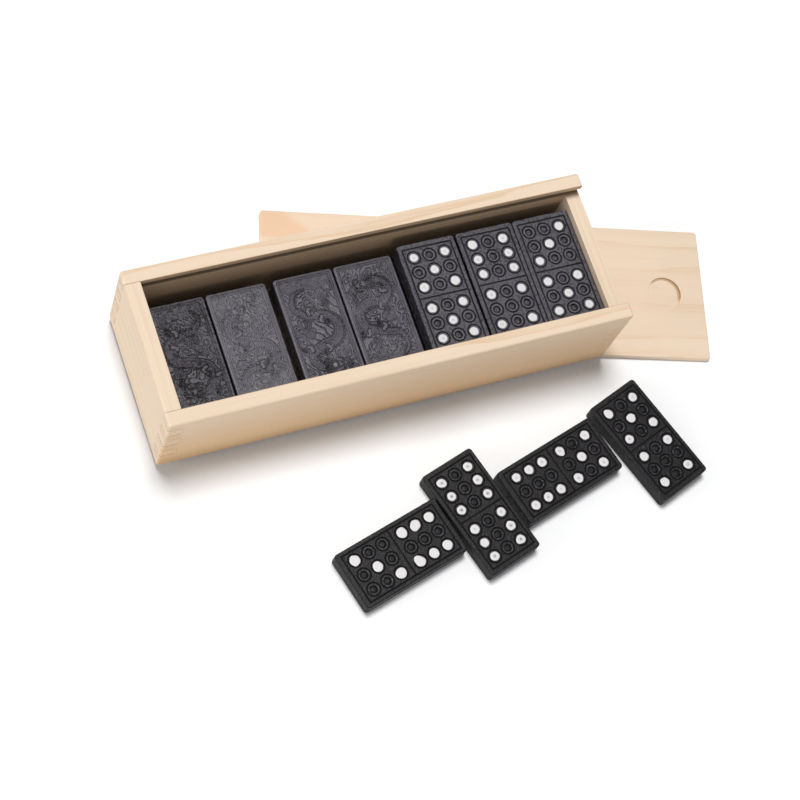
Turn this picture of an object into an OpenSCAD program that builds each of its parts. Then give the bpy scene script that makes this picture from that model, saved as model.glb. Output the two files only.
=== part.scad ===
// Domino storage box: a comb-jointed pine box with a sliding lid and a double-six set of dominoes.
// The lid is drawn off and lies flat on the table, and the box stands on it, turned a little.
// Millimetres, +Z up. The origin is on the table under the middle of the box, +X runs along the box
// towards its low end, where the lid slides in, and +Y towards its back wall.

/* [Box] */
// Outside length of the box
box_l = 154; // [140:1:200]
// Outside width of the box
box_w = 52; // [46:0.5:70]
// Outside height of the box
box_h = 33; // [30:0.5:60]
// Thickness of the front and back walls
side_t = 4.8; // [4.2:0.1:5]
// Thickness of the closed end wall
closed_end_t = 5.2; // [4.2:0.1:5.4]
// Thickness of the low end wall, which the lid slides in over
low_end_t = 4.8; // [3.6:0.1:5]
// Radius of the sanded outer edges
edge_r = 0.8; // [0.3:0.1:1.2]
// Number of comb fingers at the closed end
closed_end_fingers = 8; // [4:1:12]
// Number of comb fingers at the low end
low_end_fingers = 7; // [3:1:11]

/* [Lid slot] */
// Thickness of the wood above the slot
lip_t = 2.2; // [1.6:0.1:3]
// Height of the slot
slot_h = 2.8; // [2.5:0.1:3.2]
// Depth of the slot in the walls
slot_d = 2.8; // [2:0.1:3.2]

/* [Lid] */
// Thickness of the lid
lid_t = 2.2; // [1.8:0.1:2.4]
// Clearance between the lid and the bottom of the slot, on each side
lid_side_clearance = 0.4; // [0.2:0.05:0.8]
// Clearance between the lid and the bottom of the slot at the closed end
lid_end_clearance = 0.4; // [0.1:0.05:1]
// Radius of the lid's sanded edges
lid_edge_r = 0.6; // [0.2:0.1:0.8]
// Radius of the thumb notch
notch_r = 5.8; // [4:0.1:8]
// Depth of the thumb notch at its steep side
notch_depth = 1; // [0.5:0.1:1.4]
// Distance from the lid's end to the middle of the thumb notch
notch_from_end = 14; // [9:0.5:30]
// Turn of the lid on the table, in degrees
lid_turn = -16; // [-18:0.5:-12]
// Place of the lid's middle on the table, along the box from its middle
lid_x = 47.5; // [30:0.5:50]
// Place of the lid's middle on the table, towards the back from the box's middle
lid_y = 7.5; // [5:0.5:12]

/* [Bottom panel] */
// Thickness of the bottom panel
panel_t = 2.8; // [2:0.1:3]
// Height of the panel's underside above the walls' bottom edges
panel_rise = 1.5; // [1:0.1:3]
// Depth of the panel's edges in the walls
panel_tongue = 2.2; // [1:0.1:3]
// Clearance round the panel in its groove
panel_clearance = 0.15; // [0.05:0.05:0.3]

/* [Dominoes] */
// Gap between the dominoes and the front wall
domino_front_gap = 0.4; // [0.2:0.1:1]
// Gap between the dominoes and the back wall
domino_back_gap = 3.6; // [3:0.1:6]
// Gaps before each column of dominoes, from the closed end, and after the last column
column_gaps = [0.8, 0.5, 2.4, 0.5, 0.8, 0.7, 0.2, 0.2];
// Room between the top row of dominoes and the lid's slot
domino_headroom = 2.9; // [1:0.1:4]
// Radius of a domino's corners, seen from above
domino_corner_r = 1.1; // [0.8:0.1:3]
// Radius of the edges round a domino's face and back
domino_edge_r = 0.35; // [0.2:0.05:0.8]
// Diameter of a painted pip
pip_d = 3.1; // [2:0.1:3.4]
// Diameter of an empty pip cup
cup_d = 2.4; // [1.6:0.1:3.2]
// Depth of a pip cup
cup_depth = 0.45; // [0.2:0.05:0.8]
// How far the paint lies below the domino's face
paint_below_face = 0.1; // [0.05:0.05:0.15]
// Outer diameter of the ring round each pip place
ring_d = 4.7; // [4.2:0.1:5]
// Gap between the middle line and the nearest rings
ring_gap_middle = 1.125; // [0.5:0.025:1.5]
// Gap between the frame line and the rings at a domino's short edges
ring_gap_end = 0.6; // [0.2:0.1:1]
// Gap between the frame line and the rings at a domino's long edges
ring_gap_side = 0.42; // [0.2:0.02:0.6]
// Width of the ring, of the frame line and of the middle line
line_w = 0.45; // [0.3:0.05:0.6]
// Depth of the ring, of the frame line and of the middle line
line_depth = 0.35; // [0.2:0.05:0.6]
// Distance from a domino's long edge to its frame line
frame_inset_side = 1.3; // [0.8:0.1:1.4]
// Distance from a domino's short edge to its frame line
frame_inset_end = 1.6; // [1:0.1:2]
// Depth of the sunk panel on a domino's back
back_depth = 0.4; // [0.2:0.05:0.8]

/* [Line of play] */
// Direction in which the line of play runs on the table, in degrees
line_turn = 12; // [6:1:15]
// Place of the crosswise double in front of the box, along the box from its middle
line_x = 17; // [0:1:40]
// Gap between the box's front wall and the crosswise double, measured along the double
line_gap = 21.8; // [20:0.2:60]
// Gaps between the four dominoes of the line of play
line_gaps = [1, 1.8, 3];
// Turn of each domino of the line from a square place, in degrees
line_turns = [3, 5, 4, 8];
// How far the last domino is slipped along its own length
last_slip = -4.5; // [-8:0.5:0]

/* [Hidden] */
$fn = 64;
cut = 1;                                // how far a cutting solid runs past what it cuts

// Values of the dominoes. Three full layers lie face down, the first at the bottom. Column 0 is at the
// closed end. The top row lies face up in the last columns. The first value is on the half at +X
// before a domino is turned into place, which is the half at the back wall in the box.
layers = [
    [[0, 0], [0, 1], [0, 2], [0, 3], [0, 4], [0, 5], [0, 6]],
    [[1, 1], [1, 2], [1, 3], [1, 4], [1, 5], [1, 6], [2, 2]],
    [[2, 3], [2, 4], [2, 5], [2, 6], [3, 3], [3, 4], [4, 4]]
];
top_row = [[5, 5], [6, 4], [3, 5]];
line_of_play = [[6, 3], [6, 6], [5, 6], [5, 4]];

columns = len(layers[0]);
full_layers = len(layers);
covered_from = columns - len(top_row);  // the first column under the top row

inner_l = box_l - closed_end_t - low_end_t;
inner_w = box_w - 2 * side_t;
slot_z = box_h - lip_t - slot_h;        // the slot's floor, and the top of the low end wall
panel_top = panel_rise + panel_t;
lid_l = box_l - closed_end_t + slot_d - lid_end_clearance;
lid_w = inner_w + 2 * (slot_d - lid_side_clearance);

function sum(list, n) = n == 0 ? 0 : list[n - 1] + sum(list, n - 1);

// A domino fills the box with the gaps given: its length lies across the box, its width along it, and
// the full layers and the top row reach from the bottom panel to the room under the slot
domino_l = inner_w - domino_front_gap - domino_back_gap;
domino_w = (inner_l - sum(column_gaps, columns + 1)) / columns;
domino_t = (slot_z - panel_top - domino_headroom) / (full_layers + 1);

function column_x(c) = closed_end_t + (c + 0.5) * domino_w + sum(column_gaps, c + 1);
row_y = side_t + domino_front_gap + domino_l / 2;
function layer_z(k) = panel_top + k * domino_t;

// A place in the box, from the corner of its front wall and its closed end, as a place on the table
function in_box(p) = [p[0] - box_l / 2, p[1] - box_w / 2, p[2] + lid_t];

// The line of play: the crosswise double is the second domino, and the others are set from it
line_pitch = (domino_l + domino_w) / 2;
line_y = -line_gap - domino_l / 2;
function line_along(i) = i * line_pitch + sum(line_gaps, i) - line_pitch - line_gaps[0];
function line_yaw(i) = line_turn + line_turns[i] + (i % 2 == 1 ? 90 : 0);
function line_slip(i) = i == len(line_of_play) - 1 ? last_slip : 0;
function line_place(i) = [
    line_x + line_along(i) * cos(line_turn) + line_slip(i) * cos(line_yaw(i)),
    line_y - box_w / 2 + line_along(i) * sin(line_turn) + line_slip(i) * sin(line_yaw(i)),
    0
];

// Every domino as [values, place, turn, kind]. A "face" domino shows its face and a "back" one its
// back, and a "covered" one lies face down under others.
dominoes = concat(
    [for (k = [0 : full_layers - 1], c = [0 : columns - 1]) [
        layers[k][c],
        in_box([column_x(c), row_y, layer_z(k)]),
        90,
        k == full_layers - 1 && c < covered_from ? "back" : "covered"
    ]],
    [for (i = [0 : len(top_row) - 1]) [
        top_row[i],
        in_box([column_x(covered_from + i), row_y, layer_z(full_layers)]),
        90,
        "face"
    ]],
    [for (i = [0 : len(line_of_play) - 1]) [line_of_play[i], line_place(i), line_yaw(i), "face"]]
);
function values_name(v) = str(min(v[0], v[1]), "_", max(v[0], v[1]));
function domino_name(d) = str("domino_", values_name(d[0]));
function pips_name(d) = str("pips_", values_name(d[0]));
face_up = [for (d = dominoes) if (d[3] == "face") d];

// Steps between pips, along and across a domino, and the distance from a domino's middle to the middle
// of each half. Three rings fill each way between the lines.
ring_room = domino_l / 2 - frame_inset_end - 1.5 * line_w - ring_gap_middle - ring_gap_end;
pip_pitch_along = (ring_room - ring_d) / 2;
pip_pitch_across = domino_w / 2 - frame_inset_side - line_w - ring_gap_side - ring_d / 2;
half_offset = line_w / 2 + ring_gap_middle + ring_room / 2;

// Pip places of a half, as [along, across] steps from its middle
function pip_places(value) = concat(
    value % 2 == 1 ? [[0, 0]] : [],
    value > 1 ? [[-1, 1], [1, -1]] : [],
    value > 3 ? [[-1, -1], [1, 1]] : [],
    value == 6 ? [[0, -1], [0, 1]] : []
);
all_places = [for (a = [-1 : 1], b = [-1 : 1]) [a, b]];

module rounded_rectangle(length, width, r) {
    square([length - 2 * r, width], center = true);
    square([length, width - 2 * r], center = true);
    for (x = [-1, 1], y = [-1, 1])
        translate([x * (length / 2 - r), y * (width / 2 - r)])
            circle(r);
}

// A board with its lower corner at the origin, with every edge rounded, and its four upright edges
// rounded by plan_r
module sanded_board(length, width, height, r, plan_r) {
    translate([length / 2, width / 2, height / 2])
        intersection() {
            linear_extrude(height, center = true)
                rounded_rectangle(length, width, plan_r);
            rotate([90, 0, 0])
                linear_extrude(width, center = true)
                    rounded_rectangle(length, height, r);
            rotate([90, 0, 90])
                linear_extrude(length, center = true)
                    rounded_rectangle(width, height, r);
        }
}

// The outside of the whole box, which gives each wall its sanded outer edges
module box_outside() {
    sanded_board(box_l, box_w, box_h, edge_r, edge_r);
}

// The space that the lid slides in. It runs out over the low end wall.
module lid_slot() {
    translate([closed_end_t - slot_d, side_t - slot_d, slot_z])
        cube([box_l, inner_w + 2 * slot_d, slot_h]);
}

// The groove round the inside of the walls that holds the bottom panel
module panel_groove() {
    translate([closed_end_t - panel_tongue, side_t - panel_tongue, panel_rise])
        cube([inner_l + 2 * panel_tongue, inner_w + 2 * panel_tongue, panel_t + panel_clearance]);
}

// One finger in count of a comb joint of the given height, counted from the top. The front and back
// walls own the even fingers and the end walls the odd ones.
module comb(count, height, x, length, side_owned) {
    finger_h = height / count;
    for (i = [0 : count - 1])
        if ((i % 2 == 0) == side_owned)
            translate([x, 0, height - (i + 1) * finger_h])
                cube([length, side_t, finger_h]);
}

// Both ends' fingers at the front wall
module end_fingers(side_owned) {
    comb(closed_end_fingers, box_h, 0, closed_end_t, side_owned);
    comb(low_end_fingers, slot_z, box_l - low_end_t, low_end_t, side_owned);
}

module mirrored_to_back() {
    translate([0, box_w, 0])
        mirror([0, 1, 0])
            children();
}

module side_wall() {
    difference() {
        intersection() {
            cube([box_l, side_t, box_h]);
            box_outside();
        }
        end_fingers(false);
        lid_slot();
        panel_groove();
    }
}

module front_wall() {
    color("burlywood")
        translate(in_box([0, 0, 0]))
            side_wall();
}

module back_wall() {
    color("burlywood")
        translate(in_box([0, 0, 0]))
            mirrored_to_back()
                side_wall();
}

module end_wall(x, thickness, height) {
    translate(in_box([0, 0, 0]))
        difference() {
            intersection() {
                translate([x, 0, 0])
                    cube([thickness, box_w, height]);
                box_outside();
            }
            end_fingers(true);
            mirrored_to_back()
                end_fingers(true);
            lid_slot();
            panel_groove();
        }
}

module closed_end_wall() {
    color("navajowhite")
        end_wall(0, closed_end_t, box_h);
}

module low_end_wall() {
    color("navajowhite")
        end_wall(box_l - low_end_t, low_end_t, slot_z);
}

module bottom_panel() {
    margin = panel_tongue - panel_clearance;
    color("wheat")
        translate(in_box([closed_end_t - margin, side_t - margin, panel_rise]))
            cube([inner_l + 2 * margin, inner_w + 2 * margin, panel_t]);
}

// The lid lies on the table. Its notched end is the one that is pulled.
module lid() {
    notch_tilt = atan(notch_depth / (2 * notch_r));
    color("moccasin")
        translate([lid_x, lid_y, 0])
            rotate([0, 0, lid_turn])
                difference() {
                    translate([-lid_l / 2, -lid_w / 2, 0])
                        sanded_board(lid_l, lid_w, lid_t, lid_edge_r, 2 * lid_edge_r);
                    translate([lid_l / 2 - notch_from_end, 0, lid_t - notch_depth / 2])
                        rotate([0, notch_tilt, 0])
                            cylinder(h = lid_t, r = notch_r);
                }
}

// A thin line cut round a rectangle
module frame_line() {
    frame_l = domino_l - 2 * frame_inset_end;
    frame_w = domino_w - 2 * frame_inset_side;
    difference() {
        square([frame_l, frame_w], center = true);
        square([frame_l - 2 * line_w, frame_w - 2 * line_w], center = true);
    }
}

// Children stand at the given pip places of the half at side, which is 1 or -1
module at_pips(side, places) {
    for (p = places)
        translate([side * half_offset + p[0] * pip_pitch_along, p[1] * pip_pitch_across, 0])
            children();
}

// Children stand at the pips of both values
module at_values(v) {
    at_pips(1, pip_places(v[0]))
        children();
    at_pips(-1, pip_places(v[1]))
        children();
}

// The frame line, the middle line and a ring and an empty cup at each of the eighteen pip places
module face_lines() {
    translate([0, 0, domino_t - line_depth])
        linear_extrude(line_depth + cut) {
            frame_line();
            square([line_w, domino_w - 2 * (frame_inset_side + line_w)], center = true);
        }
    for (side = [-1, 1])
        at_pips(side, all_places) {
            translate([0, 0, domino_t - line_depth])
                linear_extrude(line_depth + cut)
                    difference() {
                        circle(d = ring_d);
                        circle(d = ring_d - 2 * line_w);
                    }
            translate([0, 0, domino_t - cup_depth])
                cylinder(h = cup_depth + cut, d = cup_d);
        }
}

module value_cups(v) {
    at_values(v)
        translate([0, 0, domino_t - cup_depth])
            cylinder(h = cup_depth + cut, d = pip_d);
}

// Half a ring, which is the half at +Y
module half_ring(r, width) {
    difference() {
        circle(r + width / 2);
        circle(r - width / 2);
        translate([-2 * r, -2 * r])
            square([4 * r, 2 * r]);
    }
}

// The raised scroll on a domino's back: a band that winds from end to end, with a curl in each bend
module scroll() {
    bends = 5;
    panel_l = domino_l - 2 * frame_inset_end;
    bend_r = panel_l / (2 * bends + 1);
    band_w = 0.45 * bend_r;
    for (i = [0 : bends - 1]) {
        up = i % 2 == 0 ? 1 : -1;
        translate([(i - (bends - 1) / 2) * 2 * bend_r, 0])
            mirror([0, up == 1 ? 0 : 1]) {
                half_ring(bend_r, band_w);
                translate([0, bend_r * 0.25])
                    circle(bend_r * 0.35);
                translate([0, -bend_r * 1.05])
                    circle(bend_r * 0.5);
            }
    }
}

// The sunk panel on a domino's back. The scroll stands in it where the back shows.
module back_panel(with_scroll) {
    translate([0, 0, -cut])
        linear_extrude(back_depth + cut)
            difference() {
                square([domino_l - 2 * frame_inset_end, domino_w - 2 * frame_inset_side], center = true);
                if (with_scroll)
                    scroll();
            }
}

// A domino lies face up with the middle of its back at the origin
module domino_body(v, kind) {
    difference() {
        translate([-domino_l / 2, -domino_w / 2, 0])
            sanded_board(domino_l, domino_w, domino_t, domino_edge_r, domino_corner_r);
        if (kind == "face")
            face_lines();
        value_cups(v);
        back_panel(kind == "back");
    }
}

// Children are turned and carried to a domino's place, and face down unless its kind is "face"
module at_place(d) {
    translate(d[1])
        rotate([0, 0, d[2]])
            if (d[3] == "face")
                children();
            else
                translate([0, 0, domino_t])
                    rotate([180, 0, 0])
                        children();
}

module domino(d) {
    color("dimgray")
        at_place(d)
            domino_body(d[0], d[3]);
}

// The white paint in the cups of a domino that lies face up
module pips(d) {
    color("white")
        at_place(d)
            at_values(d[0])
                translate([0, 0, domino_t - cup_depth])
                    cylinder(h = cup_depth - paint_below_face, d = pip_d);
}

front_wall();
back_wall();
closed_end_wall();
low_end_wall();
bottom_panel();
lid();
for (d = dominoes)
    domino(d);
for (d = face_up)
    pips(d);
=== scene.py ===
"""A pine domino box with its lid drawn off and a double-six set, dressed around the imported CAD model."""

import math
import random

import bmesh
import bpy
import numpy as np
from bpy.props import FloatProperty, FloatVectorProperty, IntProperty, PointerProperty
from mathutils import Matrix, Vector


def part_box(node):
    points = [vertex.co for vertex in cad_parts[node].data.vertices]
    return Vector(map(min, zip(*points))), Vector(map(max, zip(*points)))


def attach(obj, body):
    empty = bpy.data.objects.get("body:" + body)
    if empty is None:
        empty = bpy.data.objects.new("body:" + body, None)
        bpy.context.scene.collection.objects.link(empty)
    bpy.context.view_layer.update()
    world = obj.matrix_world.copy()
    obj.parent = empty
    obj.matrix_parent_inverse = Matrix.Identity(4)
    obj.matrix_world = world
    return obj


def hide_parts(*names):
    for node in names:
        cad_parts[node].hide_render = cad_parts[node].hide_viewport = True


bl_info = {
    "name": "Domino storage box",
    "version": (1, 0, 0),
    "blender": (4, 5, 0),
    "location": "3D View > Sidebar > Domino box",
    "description": "Makes a pine box with a sliding lid, a double-six set of dominoes and their stage",
    "category": "Add Mesh",
}

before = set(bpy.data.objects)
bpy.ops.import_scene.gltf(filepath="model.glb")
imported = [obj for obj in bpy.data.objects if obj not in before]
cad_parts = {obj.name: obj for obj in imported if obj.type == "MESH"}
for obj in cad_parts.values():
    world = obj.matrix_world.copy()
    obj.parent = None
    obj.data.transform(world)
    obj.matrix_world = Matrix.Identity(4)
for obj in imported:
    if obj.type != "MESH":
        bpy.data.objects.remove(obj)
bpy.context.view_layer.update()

# Pieces are modelled in millimetres and brought to metres when they are finished
MM = 1000.0
# In millimetres: vertices nearer than this are one, and a cutting block reaches this far past what it cuts
WELD, OVER = 0.002, 1.0


# ---- sizes and colours ----

def a_length(name, description, default):
    return FloatProperty(name=name, description=description, default=default, unit="LENGTH")


def a_place(name, description, default):
    return FloatVectorProperty(name=name, description=description, default=default, subtype="XYZ",
                               unit="LENGTH")


def an_angle(name, description, default):
    return FloatProperty(name=name, description=description, default=default, subtype="ANGLE")


def a_power(name, description, default):
    return FloatProperty(name=name, description=description, default=default, unit="POWER")


def a_colour(name, description, default):
    return FloatVectorProperty(name=name, description=description, default=default, size=4,
                               subtype="COLOR", min=0, max=1)


class DominoBoxSizes(bpy.types.PropertyGroup):
    length: a_length("Length", "Outside length of the box", 0.154)
    width: a_length("Width", "Outside width of the box", 0.052)
    height: a_length("Height", "Outside height of the box", 0.033)
    side_thickness: a_length("Side walls", "Thickness of the front and back walls", 0.0048)
    closed_end_thickness: a_length("Closed end", "Thickness of the closed end wall", 0.0052)
    low_end_thickness: a_length("Low end", "Thickness of the low end wall", 0.0048)
    edge_radius: a_length("Outer edges", "Radius of the sanded outer edges", 0.0008)
    softening: a_length("Cut edges", "Width of the softened edges of cuts and fingers", 0.00014)
    closed_end_fingers: IntProperty(name="Fingers at the closed end",
                                    description="Number of comb fingers at the closed end", default=8)
    low_end_fingers: IntProperty(name="Fingers at the low end",
                                 description="Number of comb fingers at the low end", default=7)
    lip: a_length("Lip", "Thickness of the wood above the slot", 0.0022)
    slot_height: a_length("Slot height", "Height of the lid's slot", 0.0028)
    slot_depth: a_length("Slot depth", "Depth of the lid's slot in the walls", 0.0028)
    panel_rise: a_length("Panel rise", "Height of the bottom panel above the walls' feet", 0.0015)
    panel_thickness: a_length("Panel", "Thickness of the bottom panel", 0.0028)
    panel_tongue: a_length("Panel tongue", "Depth of the panel's edges in the walls", 0.0022)
    panel_clearance: a_length("Panel clearance", "Clearance round the bottom panel", 0.00015)


class DominoBoxLid(bpy.types.PropertyGroup):
    length: a_length("Length", "Length of the lid", 0.1512)
    width: a_length("Width", "Width of the lid", 0.0472)
    thickness: a_length("Thickness", "Thickness of the lid", 0.0022)
    edge_radius: a_length("Edges", "Radius of the lid's sanded edges", 0.0006)
    notch_radius: a_length("Notch radius", "Radius of the thumb notch", 0.0058)
    notch_depth: a_length("Notch depth", "Depth of the thumb notch at its steep side", 0.001)
    notch_from_end: a_length("Notch place", "Distance from the lid's end to the notch", 0.014)
    middle: a_place("Place", "Place of the lid's middle on the table", (0.0475, 0.0075, 0.0))
    turn: an_angle("Turn", "Turn of the lid on the table", math.radians(-16))


class DominoSizes(bpy.types.PropertyGroup):
    length: a_length("Length", "Length of a domino", 0.0384)
    width: a_length("Width", "Width of a domino", 0.0197)
    thickness: a_length("Thickness", "Thickness of a domino", 0.0052)
    corner_radius: a_length("Corners", "Radius of the corners, seen from above", 0.0011)
    edge_radius: a_length("Edges", "Radius of the edges round face and back", 0.00035)
    pitch_along: a_length("Pitch along", "Distance between pips along a domino", 0.00525)
    pitch_across: a_length("Pitch across", "Distance between pips across a domino", 0.00533)
    half_offset: a_length("Half offset", "Distance from the middle to each half's middle", 0.00895)
    ring_diameter: a_length("Rings", "Outer diameter of the ring round each pip place", 0.0047)
    cup_diameter: a_length("Cups", "Diameter of an empty pip cup", 0.0025)
    cup_depth: a_length("Cup depth", "Depth of a pip cup", 0.00045)
    pip_diameter: a_length("Pips", "Diameter of a painted pip", 0.0031)
    line_width: a_length("Lines", "Width of the engraved lines and rings", 0.00045)
    line_depth: a_length("Line depth", "Depth of the engraved lines and rings", 0.00035)
    frame_inset_side: a_length("Frame inset, side", "From a long edge to the frame line", 0.0013)
    frame_inset_end: a_length("Frame inset, end", "From a short edge to the frame line", 0.0016)
    back_rim: a_length("Back rim", "Width of the rim round the ornament on the back", 0.0008)
    back_depth: a_length("Back depth", "Depth of the sunk panel on the back", 0.0004)


class DominoBoxColours(bpy.types.PropertyGroup):
    early_wood: a_colour("Early wood", "Pale wood between the growth rings", (0.757, 0.614, 0.468, 1.0))
    late_wood: a_colour("Late wood", "Darker wood of the growth rings", (0.66, 0.46, 0.29, 1.0))
    heart_wood: a_colour("Heartwood", "Warm patch at the end of the lid", (0.74, 0.51, 0.34, 1.0))
    plastic: a_colour("Plastic", "Moulded black of the dominoes", (0.010, 0.0088, 0.0096, 1.0))
    # The worn grey also gives the painted sheen of the dominoes in the box
    worn_plastic: a_colour("Worn plastic", "Rubbed, greyer black", (0.080, 0.073, 0.091, 1.0))
    paint: a_colour("Pip paint", "White paint in the pips", (0.65, 0.64, 0.645, 1.0))
    floor: a_colour("Floor", "Table under the object", (0.93, 0.93, 0.935, 1.0))


class DominoBoxStage(bpy.types.PropertyGroup):
    camera_place: a_place("Camera place", "Where the camera stands", (-0.21004, -0.22221, 0.61294))
    camera_target: a_place("Camera target", "The point the camera looks at", (0.00577, -0.02325, 0.0))
    camera_roll: an_angle("Camera roll", "Turn of the camera about its view", math.radians(30.606))
    lens: FloatProperty(name="Lens", description="Focal length in millimetres", default=95.31)
    key_power: a_power("Key light", "Power of the soft light above the box", 36.0)
    side_power: a_power("Side light", "Power of the soft light on the left", 15.5)
    front_power: a_power("Front light", "Power of the soft light in front", 12.5)
    sky: FloatProperty(name="Sky", description="Strength of the even light from all round", default=0.24)


# ---- values of the set ----

LAYERS = [
    [(0, 0), (0, 1), (0, 2), (0, 3), (0, 4), (0, 5), (0, 6)],
    [(1, 1), (1, 2), (1, 3), (1, 4), (1, 5), (1, 6), (2, 2)],
    [(2, 3), (2, 4), (2, 5), (2, 6), (3, 3), (3, 4), (4, 4)],
]
TOP_ROW = [(5, 5), (6, 4), (3, 5)]
LINE_OF_PLAY = [(6, 3), (6, 6), (5, 6), (5, 4)]
LINE_TURNS = [15.0, 107.0, 16.0, 110.0]
SHOWN_BACKS = LAYERS[2][:4]
COVERED = LAYERS[0] + LAYERS[1] + LAYERS[2][4:]
# Turn of the dominoes in the box, in degrees
ACROSS = 90
FACE_UP = ([(values, ACROSS, "plastic in the box") for values in TOP_ROW]
           + [(values, turn, "plastic loose") for values, turn in zip(LINE_OF_PLAY, LINE_TURNS)])


def name_of(kind, values):
    return "%s_%d_%d" % (kind, min(values), max(values))


def pip_places(value):
    """Pip places of a half, as (along, across) steps from its middle."""
    places = []
    if value % 2 == 1:
        places += [(0, 0)]
    if value > 1:
        places += [(-1, 1), (1, -1)]
    if value > 3:
        places += [(-1, -1), (1, 1)]
    if value == 6:
        places += [(0, -1), (0, 1)]
    return places


# ---- modelling ----

def only(obj):
    """Select one object alone and make it the active one."""
    bpy.ops.object.select_all(action="DESELECT")
    obj.select_set(True)
    bpy.context.view_layer.objects.active = obj


def added():
    """The primitive just added, with its place and size moved into its mesh."""
    bpy.ops.object.transform_apply(location=True, rotation=True, scale=True)
    return bpy.context.object


def block(name, low, high):
    """A cuboid added at its size and place."""
    bpy.ops.object.select_all(action="DESELECT")
    low, high = Vector(low), Vector(high)
    bpy.ops.mesh.primitive_cube_add(size=1, location=(low + high) / 2, scale=high - low)
    obj = added()
    obj.name = name
    return obj


def pick(obj, kind, test):
    """Open an object in edit mode with the edges or faces selected that pass the test."""
    only(obj)
    bpy.ops.object.mode_set(mode="EDIT")
    bpy.ops.mesh.select_mode(type=kind)
    bpy.ops.mesh.select_all(action="DESELECT")
    mesh = bmesh.from_edit_mesh(obj.data)
    for part in filter(test, mesh.edges if kind == "EDGE" else mesh.faces):
        part.select_set(True)
    bmesh.update_edit_mesh(obj.data)


def climb(edge):
    """How far an edge climbs, in millimetres."""
    return abs(edge.verts[0].co.z - edge.verts[1].co.z)


def upright(edge):
    return climb(edge) > 1


def level(edge):
    return climb(edge) < 0.01


def bevel_edges(obj, test, offset, segments):
    """Round the edges that pass the test."""
    pick(obj, "EDGE", test)
    bpy.ops.mesh.bevel(offset=offset, segments=segments, profile=0.5, affect="EDGES", clamp_overlap=True)
    bpy.ops.object.mode_set(mode="OBJECT")


def boolean(obj, tool, operation):
    """Cut obj with a tool, or keep what the two share, and throw the tool away."""
    only(obj)
    cut = obj.modifiers.new("cut", "BOOLEAN")
    cut.operation = operation
    cut.solver = "EXACT"
    cut.object = tool
    bpy.ops.object.modifier_apply(modifier=cut.name)
    bpy.data.objects.remove(tool)


def join(objects, name):
    """Join objects into the first one."""
    bpy.ops.object.select_all(action="DESELECT")
    for obj in objects:
        obj.select_set(True)
    bpy.context.view_layer.objects.active = objects[0]
    if len(objects) > 1:
        bpy.ops.object.join()
    objects[0].name = name
    return objects[0]


def soften(obj, width):
    """Soften every sharp edge a little, as sanding does, and keep the flats flat."""
    merge(obj)
    bevel = obj.modifiers.new("soft edges", "BEVEL")
    bevel.limit_method = "ANGLE"
    bevel.angle_limit = math.radians(40)
    bevel.width = width
    bevel.segments = 2
    bevel.use_clamp_overlap = False
    bpy.ops.object.modifier_apply(modifier=bevel.name)
    flatten(obj)


def flatten(obj, angle=60):
    """Smooth shading with flat flats."""
    only(obj)
    bpy.ops.object.shade_smooth_by_angle(angle=math.radians(angle))
    weighted = obj.modifiers.new("flat flats", "WEIGHTED_NORMAL")
    weighted.keep_sharp = True
    bpy.ops.object.modifier_apply(modifier=weighted.name)


def merge(obj):
    """Join the vertices that a cut left on top of each other."""
    only(obj)
    bpy.ops.object.mode_set(mode="EDIT")
    bpy.ops.mesh.select_all(action="SELECT")
    bpy.ops.mesh.remove_doubles(threshold=WELD)
    bpy.ops.object.mode_set(mode="OBJECT")


def coordinates(obj):
    co = np.empty(len(obj.data.vertices) * 3)
    obj.data.vertices.foreach_get("co", co)
    return co.reshape(-1, 3)


def set_attribute(obj, name, values):
    """Write one number to each vertex, for a material to read."""
    layer = obj.data.attributes.new(name, "FLOAT", "POINT")
    layer.data.foreach_set("value", values)


def copy_of(obj, name):
    """A copy with its own mesh."""
    copy = obj.copy()
    copy.data = obj.data.copy()
    copy.name = name
    bpy.context.scene.collection.objects.link(copy)
    return copy


def place(obj, matrix):
    """Bring a piece modelled in millimetres to its place on the table, in metres, within its mesh."""
    obj.data.transform(Matrix.Scale(1 / MM, 4) @ matrix)
    obj.data.update()
    return obj


def finish_piece(obj, body, nodes, materials):
    """Give a finished piece its finish and its body, and hide the CAD nodes that it stands for."""
    obj.data.materials.clear()
    for material in materials:
        obj.data.materials.append(material)
    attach(obj, body)
    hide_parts(*nodes)


# ---- materials ----

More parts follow.
